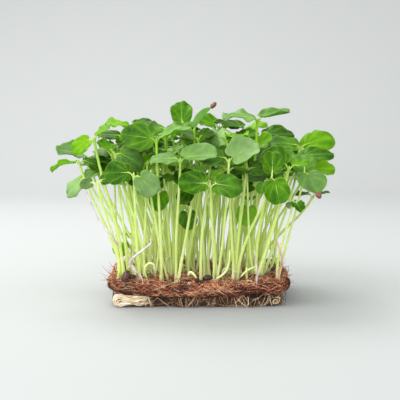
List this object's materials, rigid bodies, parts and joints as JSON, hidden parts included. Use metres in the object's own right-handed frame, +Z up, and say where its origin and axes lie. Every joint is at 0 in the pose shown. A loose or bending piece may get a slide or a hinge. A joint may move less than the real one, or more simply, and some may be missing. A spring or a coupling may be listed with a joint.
{
  "type": "hibiscus microgreens on a coir mat",
  "caption": "Dense stand of hibiscus microgreens, pale stems and rounded green seed leaves, rooted in a square coir mat.",
  "frame": {"origin": "on the surface it rests on, under the middle of the mat", "axes": "+Z up, +X to the viewer's right, the side that faces the viewer at -Y"},
  "size_m": [0.1631, 0.1355, 0.1138],
  "materials": {
    "seedling_green": "soft waxy leaf",
    "coir": "rough fibre",
    "root": "matted roots",
    "seed_hull": "dry husk"
  },
  "bodies": {
    "root": {"caught_hull_1": "seed_hull", "caught_hull_2": "seed_hull", "coir_mat": "coir", "root_mass": "root", "seed_hull_1": "seed_hull", "seed_hull_2": "seed_hull", "seed_hull_3": "seed_hull", "seed_hull_4": "seed_hull", "seed_hull_5": "seed_hull", "seed_hull_6": "seed_hull", "seed_hull_7": "seed_hull", "seedlings_01": "seedling_green", "seedlings_02": "seedling_green", "seedlings_03": "seedling_green", "seedlings_04": "seedling_green", "seedlings_05": "seedling_green", "seedlings_06": "seedling_green", "seedlings_07": "seedling_green", "seedlings_08": "seedling_green", "seedlings_09": "seedling_green", "seedlings_10": "seedling_green", "seedlings_11": "seedling_green", "seedlings_12": "seedling_green", "seedlings_13": "seedling_green", "seedlings_14": "seedling_green", "seedlings_15": "seedling_green", "seedlings_16": "seedling_green", "seedlings_17": "seedling_green", "seedlings_18": "seedling_green", "seedlings_19": "seedling_green", "seedlings_20": "seedling_green", "seedlings_21": "seedling_green", "seedlings_22": "seedling_green", "seedlings_23": "seedling_green", "seedlings_24": "seedling_green", "seedlings_25": "seedling_green", "seedlings_26": "seedling_green", "seedlings_27": "seedling_green", "seedlings_28": "seedling_green", "seedlings_29": "seedling_green", "seedlings_30": "seedling_green", "seedlings_31": "seedling_green", "seedlings_32": "seedling_green", "seedlings_33": "seedling_green", "seedlings_34": "seedling_green", "seedlings_35": "seedling_green", "seedlings_36": "seedling_green", "seedlings_37": "seedling_green", "seedlings_38": "seedling_green", "seedlings_39": "seedling_green"}
  },
  "joints": []
}
